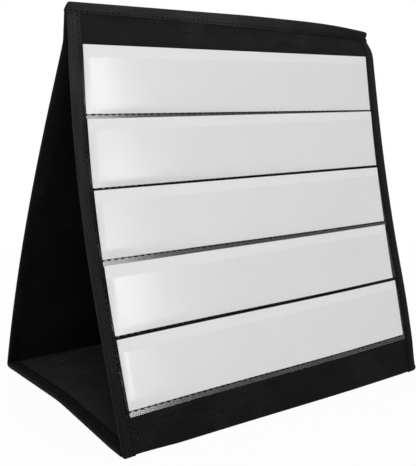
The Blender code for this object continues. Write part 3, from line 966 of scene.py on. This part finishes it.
for body, low, high in (
    ("base_front", FRONT_Y + FOOT_GAP, -CREASE_GAP),
    ("base_rear", CREASE_GAP, REAR_Y - FOOT_GAP),
):
    piece = sheet(
        f"{body}_stiffener", base, BACK_ACROSS[1:-1], np.linspace(low, high, 24),
        -FABRIC, -FABRIC - STIFFENER, board,
    )
    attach(piece, body)
    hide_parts(f"{body}_board")

# The folds at the two feet. Cover, lining and turnings lie together in them, so they are nearly as thick as
# the panels, and no gap opens when the chart folds.
ROUND = np.linspace(0, 1, 13)
FOOT_THICK, FOOT_LOW = 0.75 * PANEL, -PANEL - 0.6 * TAPE
for name, place, across_x, right_x, bend in (
    ("front_foot", front_foot, ACROSS, float(right_edge(FOLD)),
     ("front", "base_front", (0, -0.0969, 0.0053), (0, -0.0935, 0.0006))),
    ("rear_foot", back_foot, BACK_ACROSS, BACK_RIGHT_EDGE,
     ("base_rear", "back", (0, 0.0943, 0.0006), (0, 0.0984, 0.0053))),
):
    left_outline = wrap(LEFT_EDGE, LEFT_EDGE + LEFT_TAPE, TAPE, FOOT_LOW, -1)
    right_outline = wrap(right_x, right_x - RIGHT_TAPE, TAPE, FOOT_LOW, 1)
    pieces = [
        (sheet(f"{name}_cloth", place, across_x, ROUND, 0.0, -FOOT_THICK, cover_cloth), "cover_fabric"),
        (strip(f"{name}_tape_left", place, left_outline, ROUND, tape_cloth), "binding_tape"),
        (strip(f"{name}_tape_right", place, right_outline, ROUND, right_tape_shaded_cloth), "binding_tape"),
    ]
    for piece, slot in pieces:
        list(bend)
        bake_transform(piece)


# Each of the front's pieces, its hems, cards and stitches gets a mesh of its own.
for piece in [piece for piece, _, _ in front_pieces] + hems + cards + [front_seams, binding_stitches]:
    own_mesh(piece)


# Camera, lamps, floor.

# The lens in pixels of a picture whose long side is LONG_SIDE, and how far its centre is off the middle.
LENS_PIXELS, LONG_SIDE, SENSOR = 829.2, 466.0, 36.0
SHIFT = (-0.3, -1.0)
YAW, PITCH, ROLL = (math.radians(a) for a in (38.76, 13.64, -3.6))

forward = Vector((math.sin(YAW) * math.cos(PITCH), math.cos(YAW) * math.cos(PITCH), -math.sin(PITCH)))
right = Vector((math.cos(YAW), -math.sin(YAW), 0))
down = forward.cross(right)
across_axis = right * math.cos(ROLL) + down * math.sin(ROLL)
down_axis = -right * math.sin(ROLL) + down * math.cos(ROLL)
turned = Matrix((across_axis, -down_axis, -forward)).transposed()
lens = bpy.data.cameras.new("camera")
lens.sensor_width = SENSOR
lens.sensor_fit = "AUTO"
lens.lens = LENS_PIXELS / LONG_SIDE * SENSOR
lens.shift_x = -SHIFT[0] / LONG_SIDE
lens.shift_y = SHIFT[1] / LONG_SIDE
lens.clip_start = 0.01
camera = bpy.data.objects.new("camera", lens)
camera.matrix_world = Matrix.Translation(CAMERA_AT) @ turned.to_4x4()
bpy.context.scene.collection.objects.link(camera)
bpy.context.scene.camera = camera


def softbox(name, at, aim, size, watts):
    """A rectangular studio lamp that looks from one point to another."""
    lamp = bpy.data.lights.new(name, "AREA")
    lamp.shape = "RECTANGLE"
    lamp.size, lamp.size_y = size
    lamp.energy = watts
    holder = bpy.data.objects.new(name, lamp)
    holder.location = at
    holder.rotation_euler = (Vector(aim) - Vector(at)).to_track_quat("-Z", "Y").to_euler()
    bpy.context.scene.collection.objects.link(holder)


softbox("key", (-0.8, -1.2, 0.75), (0, 0, 0.15), (0.8, 0.8), 9.1)
# The films mirror the strip at their left ends.
softbox("strip", (0.585, -1.38, 0.62), (-0.15, -0.05, 0.2), (0.10, 0.6), 3.0)
softbox("rear fill", (0.5, 1.9, 1.1), (0, 0.05, 0.15), (1.0, 1.0), 14.0)


def in_view(tree):
    """1 for rays that show the studio to the camera: straight, through a piece or off a glossy one."""
    ray = add(tree, "ShaderNodeLightPath").outputs
    clear = add(
        tree, "ShaderNodeMath", {0: ray["Is Camera Ray"], 1: ray["Is Transmission Ray"]}, operation="MAXIMUM"
    )
    both = add(tree, "ShaderNodeMath", {0: clear.outputs[0], 1: ray["Is Glossy Ray"]}, operation="MAXIMUM")
    return both.outputs[0]


# White all round in view, and dimmer where it only gives light.
world = bpy.data.worlds.new("studio")
world.use_nodes = True
t = world.node_tree
t.nodes.clear()
strength = add(t, "ShaderNodeMapRange", {"Value": in_view(t), 3: 0.35, 4: 1.0})
glow = add(t, "ShaderNodeBackground", {"Color": (1, 1, 1, 1), "Strength": strength.outputs[0]})
add(t, "ShaderNodeOutputWorld", {"Surface": glow.outputs[0]})
bpy.context.scene.world = world

# Matt white paper, which takes a faint shadow near the chart and fades to pure white away from it.
paper, t = start("White paper sweep")
lit = add(t, "ShaderNodeBsdfPrincipled", {"Base Color": colour("#F2F2F2"), "Roughness": 0.9})
white = add(t, "ShaderNodeEmission", {"Color": (1, 1, 1, 1), "Strength": 1.0})
place = add(t, "ShaderNodeTexCoord").outputs["Object"]
away = add(t, "ShaderNodeVectorMath", {0: place}, operation="LENGTH")
fade = add(t, "ShaderNodeMapRange", {"Value": away.outputs["Value"], 1: 0.15, 2: 0.55, 3: 0.96, 4: 1.0})
share = add(t, "ShaderNodeMath", {0: in_view(t), 1: fade.outputs[0]}, operation="MULTIPLY")
mixed = add(t, "ShaderNodeMixShader", {0: share.outputs[0], 1: lit.outputs[0], 2: white.outputs[0]})
add(t, "ShaderNodeOutputMaterial", {"Surface": mixed.outputs[0]})
FAR = 4.0
floor_mesh = bpy.data.meshes.new("floor")
floor_mesh.from_pydata([(-FAR, -FAR, 0), (FAR, -FAR, 0), (FAR, FAR, 0), (-FAR, FAR, 0)], [], [(0, 1, 2, 3)])
floor_mesh.materials.append(paper)
floor = bpy.data.objects.new("floor", floor_mesh)
bpy.context.scene.collection.objects.link(floor)

bpy.context.scene.view_settings.view_transform = "Standard"
